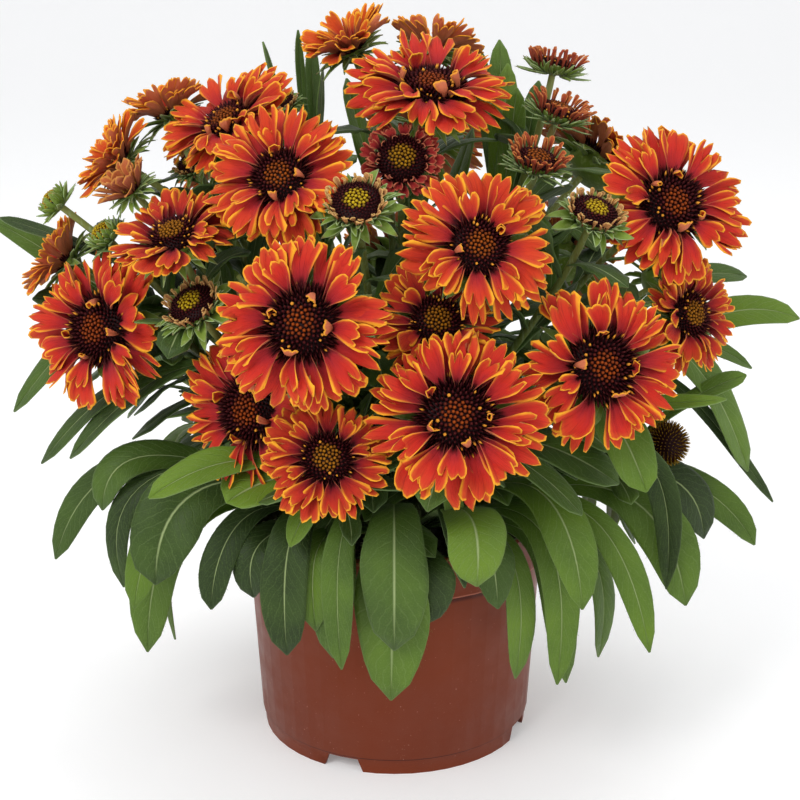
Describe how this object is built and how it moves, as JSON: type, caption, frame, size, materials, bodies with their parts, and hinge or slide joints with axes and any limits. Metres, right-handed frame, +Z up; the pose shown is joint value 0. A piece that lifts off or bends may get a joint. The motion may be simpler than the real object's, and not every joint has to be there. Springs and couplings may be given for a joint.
{
  "type": "blanket flower plant",
  "caption": "Bushy perennial in full bloom with red and orange daisy-like flower heads and spoon-shaped leaves, standing in a round nursery pot.",
  "frame": {"origin": "on the pot's axis, in the plane that the pot stands on", "axes": "+Z up, -Y towards the front of the plant, +X to the viewer's right"},
  "size_m": [0.3894, 0.289, 0.3449],
  "materials": {
    "pot_plastic": "satin",
    "potting_mix": "matte",
    "stems": "matte",
    "leaves": "satin",
    "ray_florets": "satin",
    "dusky_rays": "satin",
    "bud_bracts": "matte",
    "dried_head": "matte",
    "disc_florets": "matte"
  },
  "bodies": {
    "root": {"pot": "pot_plastic", "potting_mix": "potting_mix", "crown_and_stems": "stems", "bloom_front_low": "ray_florets", "bloom_front_left": "ray_florets", "bloom_front_right": "ray_florets", "bloom_right_low": "ray_florets", "bloom_right": "ray_florets", "bloom_right_behind": "ray_florets", "bloom_left": "ray_florets", "bloom_left_low": "ray_florets", "bloom_upper_left": "ray_florets", "bloom_left_behind": "ray_florets", "bloom_top": "ray_florets", "bloom_top_left": "ray_florets", "bloom_top_behind": "ray_florets", "bloom_dusky": "dusky_rays", "bloom_middle": "ray_florets", "bloom_low_left": "ray_florets", "bloom_upper_left_small": "ray_florets", "bloom_side_view": "ray_florets", "bloom_orange": "ray_florets", "bloom_closing": "bud_bracts", "bloom_left_hidden": "ray_florets", "seed_head": "dried_head", "bud_middle": "bud_bracts", "bud_right": "bud_bracts", "bud_upper_right": "bud_bracts", "bud_top_right": "bud_bracts", "bud_top": "bud_bracts", "bud_left": "bud_bracts", "bud_left_low": "bud_bracts", "bud_left_green": "bud_bracts", "bloom_back_low": "ray_florets", "bloom_back_left": "ray_florets", "bloom_back_right": "ray_florets", "bloom_back_upper": "ray_florets", "bloom_back_upper_left": "ray_florets", "bloom_back_upper_right": "ray_florets", "bloom_back_middle": "ray_florets", "bloom_back_side": "ray_florets", "bud_back_left": "bud_bracts", "bud_back": "bud_bracts", "leaf_front": "leaves", "leaf_front_left": "leaves", "leaf_front_dark": "leaves", "leaf_front_right": "leaves", "leaf_right_down": "leaves", "leaf_right_long": "leaves", "leaf_right_wide": "leaves", "leaf_right_tip": "leaves", "leaf_right_far": "leaves", "leaf_left_dark": "leaves", "leaf_left_long": "leaves", "leaf_left_tip": "leaves", "leaf_left_far": "leaves", "leaf_back_left": "leaves", "leaf_back": "leaves", "leaf_back_right": "leaves", "leaf_back_side": "leaves"}
  },
  "joints": []
}
